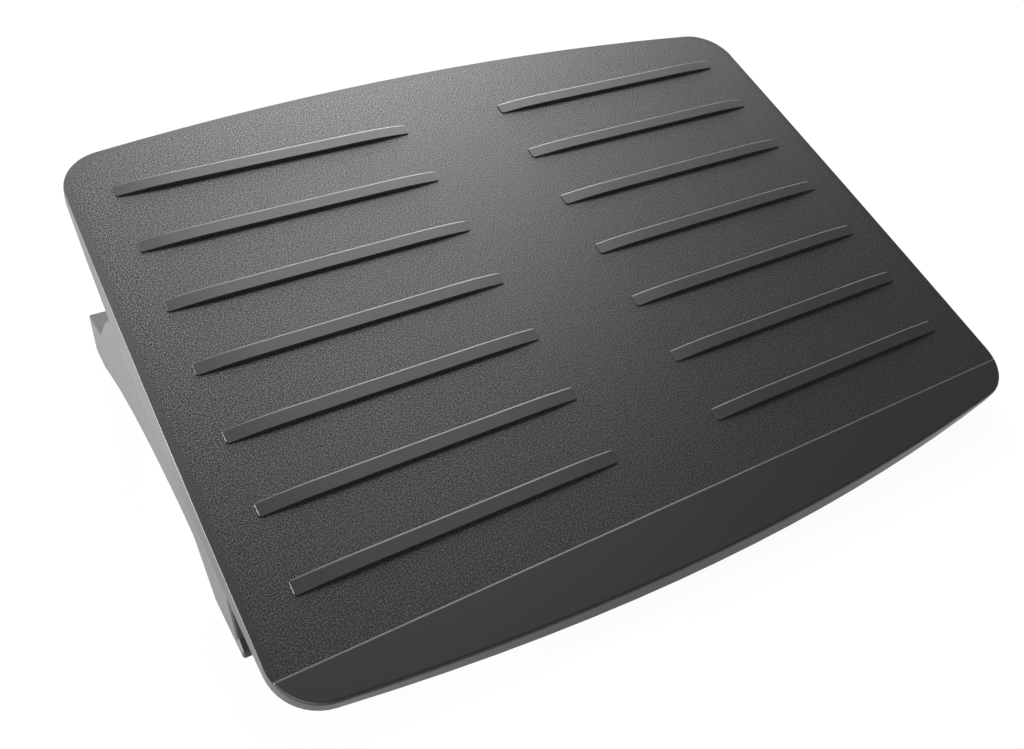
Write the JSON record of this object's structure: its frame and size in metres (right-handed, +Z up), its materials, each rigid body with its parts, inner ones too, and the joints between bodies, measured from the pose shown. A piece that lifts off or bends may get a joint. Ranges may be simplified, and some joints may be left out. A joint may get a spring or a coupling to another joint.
{
  "type": "ergonomic footrest",
  "caption": "Rocking under-desk footrest: a broad ribbed footplate with a bowed rim tilts about a pivot axis between two humped, arched side cheeks joined by rails on rubber feet.",
  "frame": {"origin": "centre of the whole part's box at rest, on the floor under the rubber feet", "axes": "+X to the user's right along the pivot axis, +Y to the rear edge that stands up at rest, +Z up"},
  "size_m": [0.456, 0.3573, 0.1554],
  "materials": {
    "tread_plastic": "fine grained matte black moulding",
    "base_plastic": "satin black moulding",
    "bracket_plastic": "glass-filled black moulding",
    "bush_plastic": "natural acetal",
    "washer_plastic": "natural acetal",
    "steel": "zinc plated",
    "rubber": "moulded rubber"
  },
  "bodies": {
    "base": {"left_cheek": "base_plastic", "left_pivot_bush": "bush_plastic", "right_cheek": "base_plastic", "right_pivot_bush": "bush_plastic", "front_rail": "base_plastic", "front_rail_screws": "steel", "front_left_stop": "rubber", "front_left_foot": "rubber", "front_right_stop": "rubber", "front_right_foot": "rubber", "rear_rail": "base_plastic", "rear_rail_screws": "steel", "rear_left_stop": "rubber", "rear_left_foot": "rubber", "rear_right_stop": "rubber", "rear_right_foot": "rubber"},
    "platform": {"footplate": "tread_plastic", "left_pivot_bracket": "bracket_plastic", "left_bracket_screws": "steel", "left_pivot_pin": "steel", "left_pivot_washer": "washer_plastic", "right_pivot_bracket": "bracket_plastic", "right_bracket_screws": "steel", "right_pivot_pin": "steel", "right_pivot_washer": "washer_plastic"}
  },
  "joints": [
    {"name": "tilt", "type": "hinge", "parent": "base", "child": "platform", "pos_m": [0, 0.03209, 0.061], "axis": [1, 0, 0], "range_deg": [-48, 0]}
  ]
}
